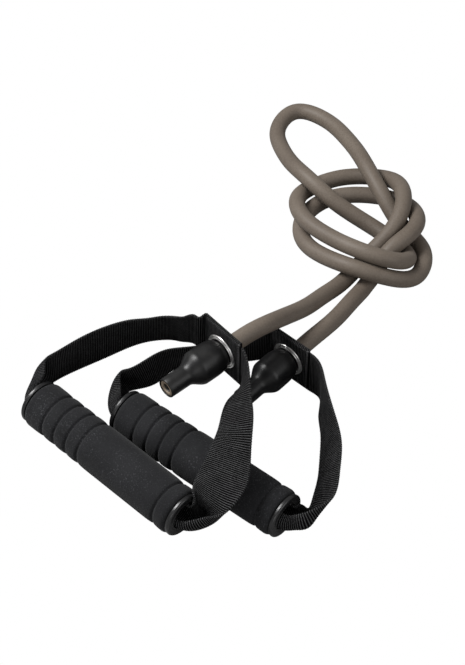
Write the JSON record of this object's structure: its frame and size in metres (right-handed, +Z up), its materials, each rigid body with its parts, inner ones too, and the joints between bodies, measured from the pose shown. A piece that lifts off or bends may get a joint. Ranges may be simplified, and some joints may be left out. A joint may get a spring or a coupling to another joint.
{
  "type": "resistance tube",
  "caption": "Latex exercise tube tied in a loose knot, with a foam grip on a webbing loop and a stoppered eyelet at each end.",
  "frame": {"origin": "floor point under the middle of the two handles, measured without the tube", "axes": "+Z up; +X along the handles' longest overall extent, to the right in the picture; +Y away from the camera"},
  "size_m": [0.2763, 0.3963, 0.0765],
  "materials": {
    "foam": "matt, fine closed-cell foam",
    "grip_pipe": "plain",
    "end_ring": "gloss",
    "webbing": "ribbed woven webbing",
    "eyelet": "polished",
    "eyelet_washer": "polished",
    "sleeve": "satin",
    "tube_end": "matt",
    "plug": "plain",
    "tube": "matt latex"
  },
  "bodies": {
    "straps_and_tube": {"strap_front": "webbing", "strap_rear": "webbing", "eyelet_front": "eyelet", "eyelet_rear": "eyelet", "eyelet_washer_front": "eyelet_washer", "eyelet_washer_rear": "eyelet_washer", "latex_tube": "tube"},
    "grip_front": {"foam_grip_front": "foam", "grip_core_front": "grip_pipe", "end_ring_left_front": "end_ring", "end_ring_right_front": "end_ring"},
    "grip_rear": {"foam_grip_rear": "foam", "grip_core_rear": "grip_pipe", "end_ring_left_rear": "end_ring", "end_ring_right_rear": "end_ring"},
    "stopper_front": {"end_sleeve_front": "sleeve", "tube_end_front": "tube_end", "tube_plug_front": "plug"},
    "stopper_rear": {"end_sleeve_rear": "sleeve", "tube_end_rear": "tube_end", "tube_plug_rear": "plug"}
  },
  "joints": [
    {"name": "grip_front_spin", "type": "hinge", "parent": "straps_and_tube", "child": "grip_front", "pos_m": [-0.04406, -0.02015, 0.016], "axis": [0.7295, -0.6839, 0], "continuous": true},
    {"name": "grip_rear_spin", "type": "hinge", "parent": "straps_and_tube", "child": "grip_rear", "pos_m": [0.01549, -0.02455, 0.016], "axis": [0.7781, -0.6281, 0], "continuous": true},
    {"name": "stopper_front_swivel", "type": "hinge", "parent": "straps_and_tube", "child": "stopper_front", "pos_m": [0.02864, 0.0336, 0.0575], "axis": [-0.753, -0.658, 0], "continuous": true},
    {"name": "stopper_rear_swivel", "type": "hinge", "parent": "straps_and_tube", "child": "stopper_rear", "pos_m": [0.07194, 0.059, 0.0195], "axis": [-0.6723, -0.7403, 0], "continuous": true}
  ]
}
